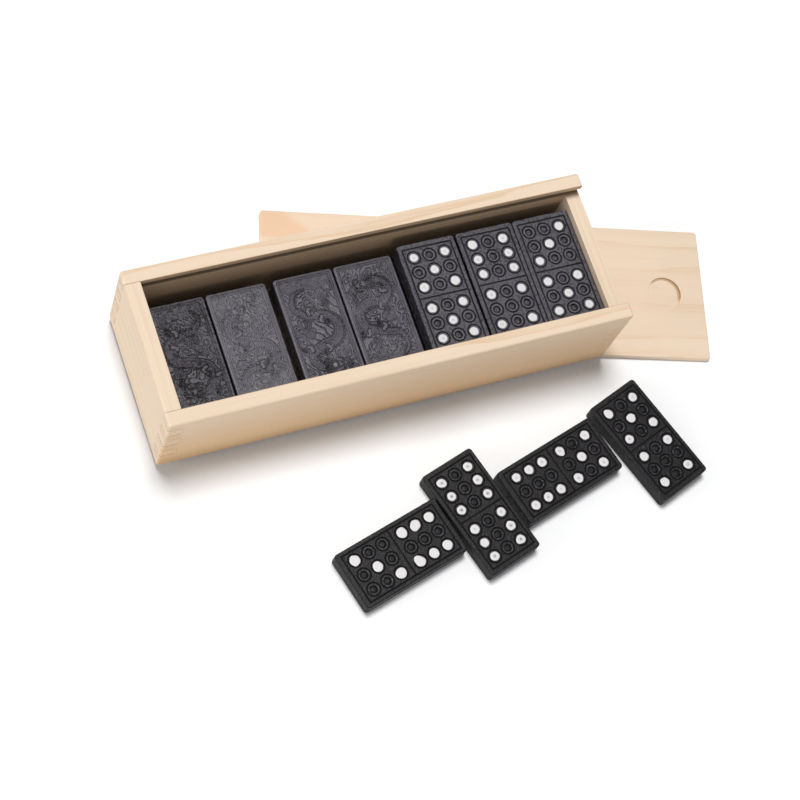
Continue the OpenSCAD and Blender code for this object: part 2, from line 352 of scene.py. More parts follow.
class Wire:
    """An output of a material's node. Sums and products of wires add Math nodes."""

    def __init__(self, tree, socket=None):
        self.tree = tree
        self.socket = socket

    def node(self, kind, settings=None, inputs=None, output=0):
        """Add any node: its settings are set first, and then its sockets' values or links."""
        node = self.tree.nodes.new(kind)
        for name, value in (settings or {}).items():
            setattr(node, name, value)
        for name, value in (inputs or {}).items():
            if isinstance(value, Wire):
                self.tree.links.new(value.socket, node.inputs[name])
            else:
                node.inputs[name].default_value = value
        return Wire(self.tree, node.outputs[output])

    def math(self, operation, *values):
        return self.node("ShaderNodeMath", {"operation": operation}, dict(enumerate(values)))

    def __add__(self, other):
        return self.math("ADD", self, other)

    def __radd__(self, other):
        return self.math("ADD", other, self)

    def __sub__(self, other):
        return self.math("SUBTRACT", self, other)

    def __rsub__(self, other):
        return self.math("SUBTRACT", other, self)

    def __mul__(self, other):
        return self.math("MULTIPLY", self, other)

    def __rmul__(self, other):
        return self.math("MULTIPLY", other, self)

    def __truediv__(self, other):
        return self.math("DIVIDE", self, other)

    def __rtruediv__(self, other):
        return self.math("DIVIDE", other, self)

    def __pow__(self, other):
        return self.math("POWER", self, other)

    def step(self, low, high):
        """0 below low, 1 above high, and smooth between them."""
        return self.node("ShaderNodeMapRange", {"interpolation_type": "SMOOTHSTEP", "clamp": True},
                         {0: self, 1: low, 2: high, 3: 0.0, 4: 1.0})

    def within(self, low, high, soft):
        """1 between low and high and 0 outside, with soft edges."""
        return self.step(low - soft, low + soft) * (1 - self.step(high - soft, high + soft))

    def mix(self, first, second):
        """Mix two colours by this wire."""
        return self.node("ShaderNodeMix", {"data_type": "RGBA"}, {0: self, 6: first, 7: second}, 2)


def new_material(name):
    """A material with nothing but its output and a Principled shader."""
    material = bpy.data.materials.new(name)
    material.use_nodes = True
    tree = material.node_tree
    for node in list(tree.nodes):
        if node.type not in ("BSDF_PRINCIPLED", "OUTPUT_MATERIAL"):
            tree.nodes.remove(node)
    shader = next(node for node in tree.nodes if node.type == "BSDF_PRINCIPLED")
    return material, Wire(tree), shader


def feed(wire, shader, **inputs):
    for name, value in inputs.items():
        wire.tree.links.new(value.socket, shader.inputs[name.replace("_", " ")])


def noise(wire, at, scale, detail=2.0, roughness=0.5):
    return wire.node("ShaderNodeTexNoise", {"noise_dimensions": "3D"},
                     {"Vector": at, "Scale": scale, "Detail": detail, "Roughness": roughness})


def millimetres(wire, turn=0.0):
    """The place on a piece in millimetres, turned about the table's upright."""
    at = wire.node("ShaderNodeTexCoord", output=3)
    return wire.node("ShaderNodeMapping", None,
                     {"Vector": at, "Rotation": (0, 0, turn), "Scale": (MM, MM, MM)})


def drawn_out(wire, spot, along, across, detail=2.0, roughness=0.5):
    """Noise with one scale along the grain and another across it, in cycles per millimetre."""
    x, y, z = spot
    at = wire.node("ShaderNodeCombineXYZ", None, {0: x * along, 1: y * across, 2: z * across})
    return noise(wire, at, 1.0, detail, roughness)


def emboss(wire, shader, strength, distance, height):
    """Give a shader fine relief from a height."""
    feed(wire, shader, Normal=wire.node("ShaderNodeBump", None, {
        "Strength": strength, "Distance": distance, "Height": height}))


# Colours for the wood, the plastic and the paint: painted warm shade on the side walls' outer faces and
# painted shade at their foot, painted shade on their inner faces and in the slot, the joints' end grain and
# dark seams, a painted shadow in the thumb notch, painted shade in the plastic's hollows, and thin grey paint
WARM_PAINTED_SHADE = (0.66, 0.41, 0.19, 1.0)
FOOT_PAINTED_SHADE = (0.42, 0.23, 0.09, 1.0)
SHADED_FACE = (0.40, 0.23, 0.11, 1.0)
SLOT_PAINTED_SHADE = (0.16, 0.09, 0.04, 1.0)
END_GRAIN = (0.50, 0.31, 0.16, 1.0)
SEAM = (0.12, 0.06, 0.025, 1.0)
NOTCH_PAINTED_SHADOW = (0.42, 0.24, 0.10, 1.0)
HOLLOW_PAINTED_SHADE = (0.002, 0.002, 0.003, 1.0)
THIN_PAINT = (0.13, 0.13, 0.145, 1.0)

# The wood of each board: where the heart of its log runs, across and up, and the pitch of its rings, all in
# millimetres; the rings' contrast; and the tint of the clouds in it
BOARDS = {
    "front_board": ((-14.0, -38.0), 2.3, 0.74, (0.75, 0.59, 0.44, 1.0)),
    "back_board": ((52.0, -30.0), 2.3, 0.74, (0.75, 0.59, 0.44, 1.0)),
    "closed_end_board": ((40.0, -26.0), 2.0, 0.5, (0.76, 0.61, 0.46, 1.0)),
    "low_end_board": ((-50.0, -34.0), 2.0, 0.5, (0.76, 0.61, 0.46, 1.0)),
    "bottom_board": ((10.0, -60.0), 2.6, 0.6, (0.74, 0.58, 0.42, 1.0)),
    "lid_board": ((16.0, -44.0), 3.4, 0.42, (0.80, 0.62, 0.47, 1.0)),
}


def pine(board, colours, turn=0.0, extra=None):
    """Pine sawn from a log, with growth rings round its heart. turn brings the board's grain to X, and
    extra may change the colour by the place on the board."""
    heart, ring_pitch, contrast, tint = BOARDS[board]
    material, wire, shader = new_material("pine " + board)
    at = millimetres(wire, turn)
    parts = wire.node("ShaderNodeSeparateXYZ", None, {"Vector": at})
    spot = x, y, z = [Wire(wire.tree, output) for output in parts.socket.node.outputs]

    # Growth rings round the heart: each grows darker to its end, where the next begins pale
    drift = drawn_out(wire, spot, 0.008, 0.05) - 0.5
    ripple = drawn_out(wire, spot, 0.03, 0.4, 3.0) - 0.5
    across = y - heart[0]
    up = z - heart[1]
    radius = (across * across + up * up) ** 0.5
    rings = radius / ring_pitch + drift * 3.2 + ripple * 0.5
    saw = wire.math("FRACT", rings)
    late = (saw ** 3.0) * (1 - saw.step(0.93, 1.0))

    # Fibres, streaks and thin lines along the grain, and clouds of tint
    fibre = drawn_out(wire, spot, 0.09, 3.2, 4.0, 0.62)
    streaks = drawn_out(wire, spot, 0.02, 0.8, 3.0, 0.55)
    lines = drawn_out(wire, spot, 0.011, 1.5).step(0.60, 0.74)
    cloud = noise(wire, at, 0.035, 3.0)
    wood = (late * contrast + (streaks - 0.5) * 0.5 + (fibre - 0.5) * 0.7 * contrast + lines * 0.2
            + 0.14).step(0.0, 1.0)
    colour = wood.mix(tuple(colours.early_wood), tuple(colours.late_wood))
    colour = (cloud.step(0.35, 0.75) * 0.5).mix(colour, tint)
    if extra:
        colour = extra(wire, colour, x, y, z)
    feed(wire, shader, Base_Color=colour, Roughness=0.74 - late * 0.16 + (fibre - 0.5) * 0.16)
    emboss(wire, shader, 0.5, 0.00007, fibre * 0.7 + late * 0.35)
    shader.inputs["Specular IOR Level"].default_value = 0.35
    return material


def plastic(name, colour, worn, sheen_and_wear, grain, gloss):
    """Moulded black plastic with a pebbled grain, greyer in places by wear and by painted sheen, with painted
    shade in its hollows and on its sides and a painted highlight inside its rings, from the sunk attribute.
    """
    material, wire, shader = new_material(name)
    at = millimetres(wire)
    mottle = noise(wire, at, 0.95, 3.0, 0.65)
    pebbles = noise(wire, at, 2.2, 2.0, 0.6)
    patches = noise(wire, at, 0.13, 3.0, 0.55)
    sunk = wire.node("ShaderNodeAttribute", {"attribute_name": "sunk"}, output=2)
    # The grey of wear and of painted sheen, less under painted shade and more under the painted highlight
    # inside the rings
    wear_and_sheen = ((patches - 0.5) * 0.8 + (mottle - 0.5) * 2.8 + (pebbles - 0.5) * 2.0 + sheen_and_wear
              - sunk).step(0.0, 1.0)
    # Painted shade towards black in the hollows and on the sides
    shade = (sunk * 0.9).mix(wear_and_sheen.mix(colour, worn), HOLLOW_PAINTED_SHADE)
    feed(wire, shader, Base_Color=shade,
         Roughness=0.42 + (patches - 0.5) * 0.16 + (mottle - 0.5) * 0.5 + sunk * 0.2)
    emboss(wire, shader, grain, 0.00025, mottle + pebbles * 0.6)
    shader.inputs["Specular IOR Level"].default_value = gloss
    return material


def pip_paint(name, colour):
    """White paint, thinner and greyer in the middle of a pip, where the cup's bottom shows through."""
    material, wire, shader = new_material(name)
    at = millimetres(wire)
    bare = wire.node("ShaderNodeAttribute", {"attribute_name": "bare"}, output=2)
    blots = noise(wire, at, 2.2, 3.0, 0.6)
    grey = (bare + (blots - 0.5) * 0.6).step(0.12, 1.0)
    shade = grey.mix(colour, THIN_PAINT)
    feed(wire, shader, Base_Color=shade, Roughness=0.38 + blots * 0.2)
    emboss(wire, shader, 0.4, 0.00006, blots)
    return material


def floor_material(name, colour):
    material, wire, shader = new_material(name)
    at = wire.node("ShaderNodeTexCoord", output=3)
    cloud = noise(wire, at, 3.0, 2.0)
    shade = (cloud * 0.3).mix(colour, tuple(0.985 * part for part in colour[:3]) + (1.0,))
    feed(wire, shader, Base_Color=shade)
    shader.inputs["Roughness"].default_value = 0.9
    shader.inputs["Specular IOR Level"].default_value = 0.1
    return material


# ---- the box ----

def box_foot():
    """Height of the box's foot, which stands on the lid."""
    return bpy.context.scene.domino_lid.thickness * MM


def slot_level(sizes):
    """Height of the slot's floor, and of the top of the low end wall, above the foot."""
    return (sizes.height - sizes.lip - sizes.slot_height) * MM


def box_corner(sizes):
    """From the corner of the front wall and the closed end to the table's frame."""
    return Matrix.Translation((-sizes.length * MM / 2, -sizes.width * MM / 2, box_foot()))


def sanded_outside(sizes):
    """The outside of the whole box, with its sanded edges."""
    size = (sizes.length * MM, sizes.width * MM, sizes.height * MM)
    obj = block("outside", (0, 0, 0), size)
    bevel_edges(obj, lambda edge: True, sizes.edge_radius * MM, 4)
    return obj


def comb_blocks(sizes, at_back, side_owned):
    """The fingers of the comb joints at one side wall, for the pieces that must give way to them. From the
    top down, every other finger belongs to the side wall."""
    length, width = sizes.length * MM, sizes.width * MM
    side = sizes.side_thickness * MM
    y0, y1 = (width - side, width + OVER) if at_back else (-OVER, side)
    closed_end = (-OVER, sizes.closed_end_thickness * MM, sizes.height * MM, sizes.closed_end_fingers)
    low_end = (length - sizes.low_end_thickness * MM, length + OVER, slot_level(sizes),
               sizes.low_end_fingers)
    blocks = []
    for x0, x1, top, count in (closed_end, low_end):
        pitch = top / count
        for i in range(0 if side_owned else 1, count, 2):
            low = -OVER if i == count - 1 else top - (i + 1) * pitch
            high = top + OVER if i == 0 and top > slot_level(sizes) else top - i * pitch
            blocks.append(block("finger", (x0, y0, low), (x1, y1, high)))
    return blocks


def channel(sizes, name, depth, low, high, far):
    """A block that cuts a channel of some depth into the inner faces of the walls, up to X = far."""
    side, closed = sizes.side_thickness * MM, sizes.closed_end_thickness * MM
    return block(name, (closed - depth, side - depth, low), (far, sizes.width * MM - side + depth, high))


def slot_block(sizes):
    floor = slot_level(sizes)
    return channel(sizes, "slot", sizes.slot_depth * MM, floor, floor + sizes.slot_height * MM,
                   sizes.length * MM + 2 * OVER)


def groove_block(sizes):
    tongue, floor = sizes.panel_tongue * MM, sizes.panel_rise * MM
    return channel(sizes, "groove", tongue, floor,
                   floor + (sizes.panel_thickness + sizes.panel_clearance) * MM,
                   (sizes.length - sizes.low_end_thickness) * MM + tongue)


def cut_wall(sizes, wall, fingers, slotted):
    """Round a wall's outer edges, cut its comb, slot and groove, and bring it to its place."""
    tools = fingers + ([slot_block(sizes)] if slotted else []) + [groove_block(sizes)]
    boolean(wall, sanded_outside(sizes), "INTERSECT")
    for tool in tools:
        boolean(wall, tool, "DIFFERENCE")
    soften(wall, sizes.softening * MM)
    return place(wall, box_corner(sizes))


def side_wall(sizes, name, at_back):
    width, side = sizes.width * MM, sizes.side_thickness * MM
    y0, y1 = (width - side, width + OVER) if at_back else (-OVER, side)
    wall = block(name, (-OVER, y0, -OVER), (sizes.length * MM + OVER, y1, sizes.height * MM + OVER))
    return cut_wall(sizes, wall, comb_blocks(sizes, at_back, False), True)


def end_wall(sizes, name, low_end):
    length, width = sizes.length * MM, sizes.width * MM
    if low_end:
        x0, x1, top = length - sizes.low_end_thickness * MM, length + OVER, slot_level(sizes)
    else:
        x0, x1, top = -OVER, sizes.closed_end_thickness * MM, sizes.height * MM + OVER
    wall = block(name, (x0, -OVER, -OVER), (x1, width + OVER, top))
    fingers = comb_blocks(sizes, False, True) + comb_blocks(sizes, True, True)
    return cut_wall(sizes, wall, fingers, not low_end)


def paint_face_shade(sizes, colour, out, down):
    """Painted warm shade on the outer face of a side wall, growing towards its foot, with darker painted
    shade at the foot.
    """
    outer = out.step(sizes.side_thickness * MM - 0.7, sizes.side_thickness * MM - 0.2)
    colour = (outer * down.step(-0.25, 0.95) * 0.7).mix(colour, WARM_PAINTED_SHADE)
    return (outer * down.step(0.72, 1.1) * 0.6).mix(colour, FOOT_PAINTED_SHADE)


def end_wall_finish(sizes):
    """Paints the same warm shade on the ends of an end wall's comb fingers as on the side walls that they
    show in.
    """
    def extra(wire, colour, x, y, z):
        down = (sizes.height * MM + box_foot() - z) / (sizes.height * MM)
        out = wire.math("ABSOLUTE", x) - (sizes.width / 2 - sizes.side_thickness) * MM
        return paint_face_shade(sizes, colour, out, down)
    return extra


def side_wall_finish(sizes, at_back):
    """Colours the places of a side wall: the seams of its comb joints, painted warm shade on its outer face,
    painted shade on its inner face and painted shade in the slot."""
    def extra(wire, colour, x, y, z):
        half = sizes.length * MM / 2
        top = sizes.height * MM + box_foot()
        way = 1 if at_back else -1
        out = way * y - (sizes.width / 2 - sizes.side_thickness) * MM
        down = (top - z) / (sizes.height * MM)

        # Painted warm shade on the outer face, darker at its foot
        colour = paint_face_shade(sizes, colour, out, down)
        # Painted shade on the inner face
        inner = 1 - out.step(0.05, 0.3)
        colour = (inner * 0.6).mix(colour, SHADED_FACE)
        # Painted shade in the slot under the lip
        slot_top, slot_floor = top - sizes.lip * MM, top - (sizes.lip + sizes.slot_height) * MM
        slot = out.step(0.1, 0.5) * z.within(slot_floor - 0.05, slot_top + 0.05, 0.05)
        slot = slot * (1 - out.step(sizes.slot_depth * MM, sizes.slot_depth * MM + 0.2))
        slot_start = (sizes.closed_end_thickness - sizes.slot_depth) * MM - half
        slot = slot * x.step(slot_start - 0.2, slot_start)
        colour = (slot * 0.75).mix(colour, SLOT_PAINTED_SHADE)

        pitch = sizes.height * MM / sizes.closed_end_fingers
        wander = drawn_out(wire, (x, y, z), 0.5, 0.5, 3.0, 0.6)
        finger = (top - z) / pitch + (wander - 0.5) * 0.2
        line = wire.math("PINGPONG", finger + 0.5, 0.5)
        seam = 1 - (0.5 - line).step(0.02, 0.085)
        closed = 1 - (x + (half - sizes.closed_end_thickness * MM)).step(-1.2, 0.3)
        joint = (top - z).step(0.9, 1.6) * closed
        colour = (joint * 0.10).mix(colour, END_GRAIN)
        return (seam * joint * wander.step(0.38, 0.54) * 0.85).mix(colour, SEAM)
    return extra


class DOMINOBOX_OT_side_walls(bpy.types.Operator):
    """Make the front and back walls with their comb fingers and the lid's slot"""
    bl_idname = "dominobox.side_walls"
    bl_label = "Side walls"
    bl_options = {"REGISTER", "UNDO"}

    def execute(self, context):
        sizes, colours = context.scene.domino_box, context.scene.domino_colours
        for name, node, at_back in (("front_board", "front_wall", False),
                                    ("back_board", "back_wall", True)):
            wall = side_wall(sizes, name, at_back)
            material = pine(name, colours, extra=side_wall_finish(sizes, at_back))
            finish_piece(wall, "box", [node], [material])
        return {"FINISHED"}


class DOMINOBOX_OT_end_walls(bpy.types.Operator):
    """Make the closed end wall and the low end wall that the lid slides in over"""
    bl_idname = "dominobox.end_walls"
    bl_label = "End walls"
    bl_options = {"REGISTER", "UNDO"}

    def execute(self, context):
        sizes, colours = context.scene.domino_box, context.scene.domino_colours
        for name, node, low_end in (("closed_end_board", "closed_end_wall", False),
                                    ("low_end_board", "low_end_wall", True)):
            wall = end_wall(sizes, name, low_end)
            material = pine(name, colours, math.radians(90), end_wall_finish(sizes))
            finish_piece(wall, "box", [node], [material])
        return {"FINISHED"}


class DOMINOBOX_OT_bottom_panel(bpy.types.Operator):
    """Make the bottom panel that sits in the walls' groove"""
    bl_idname = "dominobox.bottom_panel"
    bl_label = "Bottom panel"
    bl_options = {"REGISTER", "UNDO"}

    def execute(self, context):
        low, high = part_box("bottom_panel")
        panel = block("bottom_board", low * MM, high * MM)
        soften(panel, context.scene.domino_box.softening * MM)
        place(panel, Matrix.Identity(4))
        material = pine("bottom_board", context.scene.domino_colours)
        finish_piece(panel, "box", ["bottom_panel"], [material])
        return {"FINISHED"}


# ---- the lid ----

def lid_finish(lid):
    """The warm heartwood patch at the end of the lid that lies under the box, and a painted shadow on the
    wall of the thumb notch."""
    def extra(wire, colour, x, y, z):
        turned = Matrix.Rotation(-lid.turn, 4, "Z") @ Vector(lid.middle)
        along = x - (turned.x - lid.length / 2) * MM
        across = y - turned.y * MM
        wander = drawn_out(wire, (x, y, z), 0.08, 0.3)
        edge = across + (wander - 0.5) * 1.6
        half = lid.width * MM / 2
        slant = along - (half - across) * 1.1 + (wander - 0.5) * 5.0
        patch = edge.step(half - 10.2, half - 9.2) * (1 - slant.step(6.0, 11.0))
        colour = (patch * 0.85).mix(colour, tuple(bpy.context.scene.domino_colours.heart_wood))

        # A painted shadow on the wall of the thumb notch, on its side towards the lid's back edge
        from_notch = along - (lid.length - lid.notch_from_end) * MM
        radius = (from_notch * from_notch + across * across) ** 0.5
        notch_radius = lid.notch_radius * MM
        wall = radius.within(notch_radius - 0.75, notch_radius + 0.2, 0.12)
        wall = wall * (1 - z.step(lid.thickness * MM - 0.16, lid.thickness * MM - 0.06))
        wall = wall * (across + from_notch * 0.6).step(0.0, 2.5)
        return (wall * 0.7).mix(colour, NOTCH_PAINTED_SHADOW)
    return extra


class DOMINOBOX_OT_lid(bpy.types.Operator):
    """Make the sliding lid with its round thumb notch"""
    bl_idname = "dominobox.lid"
    bl_label = "Lid"
    bl_options = {"REGISTER", "UNDO"}

    def execute(self, context):
        lid, colours = context.scene.domino_lid, context.scene.domino_colours
        length, width, thickness = lid.length * MM, lid.width * MM, lid.thickness * MM
        radius = lid.edge_radius * MM
        board = block("lid_board", (-length / 2, -width / 2, 0), (length / 2, width / 2, thickness))
        bevel_edges(board, upright, 2 * radius, 6)
        bevel_edges(board, level, radius, 4)
        notch_radius, depth = lid.notch_radius * MM, lid.notch_depth * MM
        shallow = 0.25 * depth
        tilt = math.atan((depth - shallow) / (2 * notch_radius))
        bpy.ops.object.select_all(action="DESELECT")
        bpy.ops.mesh.primitive_cylinder_add(vertices=96, radius=notch_radius, depth=thickness,
                                            location=(0, 0, thickness / 2))
        notch = added()
        bevel_edges(notch, lambda edge: max(v.co.z for v in edge.verts) < 0.01, 0.3, 3)
        notch.data.transform(Matrix.Translation((length / 2 - lid.notch_from_end * MM, 0,
                                                  thickness - (depth + shallow) / 2))
                             @ Matrix.Rotation(tilt, 4, "Y"))
        boolean(board, notch, "DIFFERENCE")
        merge(board)
        flatten(board, 40)
        place(board, Matrix.Translation(Vector(lid.middle) * MM) @ Matrix.Rotation(lid.turn, 4, "Z"))
        material = pine("lid_board", colours, -lid.turn, lid_finish(lid))
        finish_piece(board, "lid", ["lid"], [material])
        return {"FINISHED"}


# ---- the dominoes ----

# Radius of the round tools that engrave the lines, as a share of a line's width
SINK = 0.68


def line_tools(sizes, fine, height):
    """Round bars that engrave the frame line and the middle line, with their axes at a height."""
    line = sizes.line_width * MM
    half_l = (sizes.length / 2 - sizes.frame_inset_end) * MM - line / 2
    half_w = (sizes.width / 2 - sizes.frame_inset_side) * MM - line / 2
    runs = [((0, -half_w), (0, half_w))]
    runs += [((-half_l, s * half_w), (half_l, s * half_w)) for s in (-1, 1)]
    runs += [((s * half_l, -half_w), (s * half_l, half_w)) for s in (-1, 1)]
    tools = []
    for start, end in runs:
        start, end = Vector(start), Vector(end)
        middle, along = (start + end) / 2, end - start
        bpy.ops.mesh.primitive_cylinder_add(
            vertices=12 if fine else 6, radius=SINK * line,
            depth=along.length + (line if along.x else -0.02),
            location=(middle.x, middle.y, height),
            rotation=(0, math.radians(90), math.atan2(along.y, along.x)))
        tools.append(added())
    return tools


def pip_tool(sizes, fine, height):
    """A ring that engraves the groove round a pip place, and a cone with a raised end that cuts its cup."""
    line, thick = sizes.line_width * MM, sizes.thickness * MM
    cup, depth = sizes.cup_diameter * MM / 2, sizes.cup_depth * MM
    bpy.ops.object.select_all(action="DESELECT")
    bpy.ops.mesh.primitive_torus_add(major_radius=sizes.ring_diameter * MM / 2 - line / 2,
                                     minor_radius=SINK * line, location=(0, 0, height),
                                     major_segments=48 if fine else 20, minor_segments=10 if fine else 6)
    ring_tool = added()
    bpy.ops.object.select_all(action="DESELECT")
    bpy.ops.mesh.primitive_cone_add(vertices=32 if fine else 16, radius1=cup * 0.86, radius2=cup * 1.3,
                                    depth=2 * depth, location=(0, 0, thick))
    cup_tool = added()
    pick(cup_tool, "FACE", lambda face: face.normal.z < -0.9)
    bpy.ops.mesh.inset(thickness=0.38 * cup, depth=-0.45 * depth)
    bpy.ops.object.mode_set(mode="OBJECT")
    return join([ring_tool, cup_tool], "pip tool")


def mark_painted_shade(body, sizes, spots):
    """Say how much painted shade each place of a domino gets, for the plastic's finish: painted shade in the
    lines and cups, less on the cups' floors and on the sides, and below 0 a painted highlight inside the
    rings."""
    length, width, thick = sizes.length * MM, sizes.width * MM, sizes.thickness * MM
    ring = (sizes.ring_diameter - sizes.line_width) * MM / 2
    x, y, z = coordinates(body).T
    on_face = (np.abs(x) < length / 2 - 0.7) & (np.abs(y) < width / 2 - 0.7) & (z > thick - 1)
    from_spot = np.min([np.hypot(x - sx, y - sy) for sx, sy in spots], axis=0)
    sunk = np.clip((thick - z) / 0.25, 0, 1) * on_face
    sunk[on_face & (from_spot < 0.62 * sizes.cup_diameter * MM / 2)] = 0.1
    sunk[(from_spot < ring) & (z > thick - 0.03)] = -0.35
    sunk[(z > 0.3) & (z < thick - 0.3) & ~on_face] = 0.3
    set_attribute(body, "sunk", sunk)


def domino_body(sizes, fine):
    """A rounded slab with the frame line, the middle line, and a ring and a cup at each pip place. It lies
    face up with the middle of its back at the origin."""
    length, width, thick = sizes.length * MM, sizes.width * MM, sizes.thickness * MM
    body = block("body", (-length / 2, -width / 2, 0), (length / 2, width / 2, thick))
    bevel_edges(body, upright, sizes.corner_radius * MM, 6 if fine else 4)
    bevel_edges(body, level, sizes.edge_radius * MM, 3 if fine else 2)

    height = thick + (SINK * sizes.line_width - sizes.line_depth) * MM
    for tool in line_tools(sizes, fine, height):
        boolean(body, tool, "DIFFERENCE")
    first = pip_tool(sizes, fine, height)
    spots = [((half * sizes.half_offset + along * sizes.pitch_along) * MM, across * sizes.pitch_across * MM)
             for half in (-1, 1) for along in (-1, 0, 1) for across in (-1, 0, 1)]
    tools = [copy_of(first, "pip tool") for _ in spots]
    for tool, spot in zip(tools, spots):
        tool.data.transform(Matrix.Translation(spot + (0,)))
    bpy.data.objects.remove(first)
    boolean(body, join(tools, "pip tools"), "DIFFERENCE")

    rim = sizes.back_rim * MM
    pocket = block("pocket", (-length / 2 + rim, -width / 2 + rim, -OVER),
                   (length / 2 - rim, width / 2 - rim, sizes.back_depth * MM + 0.1))
    bevel_edges(pocket, upright, 0.8, 4)
    boolean(body, pocket, "DIFFERENCE")
    merge(body)
    flatten(body, 50)
    mark_painted_shade(body, sizes, spots)
    return body


# The ornament's plate, in millimetres: how far its highest places stay inside the back, its thickness,
# and the mesh's spacing where the back is shown and where it's covered
INSIDE, PLATE, SHOWN, HIDDEN = 0.03, 0.6, 0.15, 0.36
# Levels of the ornament, from 0 to 1: its ground, its deep grooves, its fine lines, its raised forms; and
# the width of a groove in millimetres
GROUND, LOW, FINE, RAISED, GROOVE = 0.74, 0.1, 0.42, 0.88, 0.24


def smooth_path(points, steps):
    """Places along a smooth curve through some points."""
    ends = np.array([points[0]] + list(points) + [points[-1]], float)
    t = np.linspace(0, len(points) - 1.001, steps)
    i = t.astype(int)
    u = (t - i)[:, None]
    a, b, c, d = ends[i], ends[i + 1], ends[i + 2], ends[i + 3]
    return 0.5 * (2 * b + (c - a) * u + (2 * a - 5 * b + 4 * c - d) * u ** 2
                  + (3 * b - a - 3 * c + d) * u ** 3)


def stroke(height, x, y, points, steps, start, end, top):
    """Raise a tapering line through some points, with a groove round it."""
    far = np.full(x.shape, np.inf)
    for k, (px, py) in enumerate(smooth_path(points, steps)):
        width = start + (end - start) * k / (steps - 1)
        far = np.minimum(far, np.hypot(x - px, y - py) - width)
    height[(far > 0) & (far < GROOVE)] = LOW
    height[far <= 0] = top


def curls(x, y, rng):
    """Fine winding lines that fill the ground."""
    swell = np.zeros(x.shape)
    for angle in rng.uniform(0, 2 * math.pi, 7):
        across = x * math.cos(angle) + y * math.sin(angle)
        swell += np.sin(2 * np.pi * across / rng.uniform(3.0, 7.0) + rng.uniform(0, 6)) / 1.6
    return np.cos(2 * np.pi * 0.7 * swell) > 0.66


def waves(height, x, y, half_l):
    """Rows of nested arcs at one end of a back."""
    for row in range(3):
        base = half_l - 0.9 - 1.25 * (2 - row)
        cell = ((y / 3.3 + 0.5 * (row % 2)) % 1 - 0.5) * 3.3
        r = np.hypot((x - base) * 1.1, cell)
        inside = (r < 1.8) & (x < base + 0.6)
        height[inside] = np.where(np.cos(2 * np.pi * (r[inside] - 1.8) / 0.6) > 0.2, RAISED, FINE)


def cloud(height, x, y, cx, cy, size, way, rng):
    """A curled cloud: three scrolls side by side with wisps that trail behind them."""
    lean = rng.uniform(-0.3, 0.3)
    for k in range(3):
        points = [(cx - way * (size * 0.6 + 0.55 * j), cy + (k - 1) * size * 0.62 + lean * j * 0.4
                   + 0.22 * math.sin(j * 1.1 + k)) for j in range(9 if k == 1 else 7)]
        stroke(height, x, y, points, 26, 0.22, 0.06, 0.8)
    for k, (dx, dy, r0) in enumerate(((0.0, -0.85, 0.8), (0.0, 0.85, 0.85), (0.95, 0.0, 1.0))):
        px, py, radius = cx + way * dx * size, cy + dy * size, r0 * size
        r = np.hypot(x - px, y - py)
        turn = np.arctan2(y - py, way * (x - px)) * (1 if k % 2 else -1)
        lines = np.cos(2 * np.pi * (r / 0.72) - turn)
        height[(r < radius + GROOVE) & (r >= radius)] = 0.25
        inside = r < radius
        height[inside] = np.where(lines[inside] > 0.15, FINE, RAISED)


def serpent(height, x, y, points):
    """A scaled serpent along a smooth curve from its tail to its head."""
    spine = smooth_path(points, 260)
    tangent = np.gradient(spine, axis=0)
    tangent /= np.linalg.norm(tangent, axis=1)[:, None]
    trunk(height, x, y, spine, tangent)
    legs(height, x, y, spine, tangent)
    head(height, x, y, spine[-1], tangent[-1])


def trunk(height, x, y, spine, tangent):
    """The serpent's body, from its thin tail to its neck."""
    run = np.concatenate([[0], np.cumsum(np.linalg.norm(np.diff(spine, axis=0), axis=1))])
    nearest = np.zeros(x.shape, int)
    off = np.full(x.shape, np.inf)
    for i, (px, py) in enumerate(spine):
        squared = (x - px) ** 2 + (y - py) ** 2
        closer = squared < off
        off[closer] = squared[closer]
        nearest[closer] = i
    off = np.sqrt(off)
    from_x, from_y = x - spine[nearest, 0], y - spine[nearest, 1]
    s = run[nearest] + from_x * tangent[nearest, 0] + from_y * tangent[nearest, 1]
    side = from_y * tangent[nearest, 0] - from_x * tangent[nearest, 1]
    girth = np.interp(run[nearest] / run[-1], [0, 0.06, 0.3, 0.65, 0.9, 1.0],
                      [0.12, 0.45, 1.2, 1.5, 1.15, 1.05])

    # Fins along the back
    saw = (s / 0.95) % 1
    fin = girth + 0.85 * (1 - saw) * np.clip(girth, 0, 1)
    on_back = (side > 0) & (off > girth)
    height[on_back & (off < fin + GROOVE)] = LOW
    height[on_back & (off < fin) & (saw > 0.12)] = RAISED
    height[(side <= 0) & (off < girth + GROOVE) & (off >= girth)] = LOW
    height[(side > 0) & (off < girth + 0.2) & (off >= girth)] = LOW

    # Scales on the back, bars on the belly
    lift = np.sqrt(np.clip(1 - (side / np.maximum(girth, 0.1)) ** 2, 0, 1))
    row = np.floor(s / 0.62)
    u = s / 0.62 - row
    v = (side / 0.78 + 0.5 * (row % 2)) % 1 - 0.5
    arc = np.hypot(u * 0.75, v)
    scales = np.where((arc > 0.46) | (arc < 0.14), FINE, 0.98)
    bars = np.where((s / 0.7) % 1 < 0.38, FINE, 0.95)
    skin = np.where(side < -0.42 * girth, bars, scales)
    skin = np.where(np.abs(side + 0.42 * girth) < 0.13, 0.3, skin) * (0.8 + 0.2 * lift)
    within = off < girth
    height[within] = skin[within]


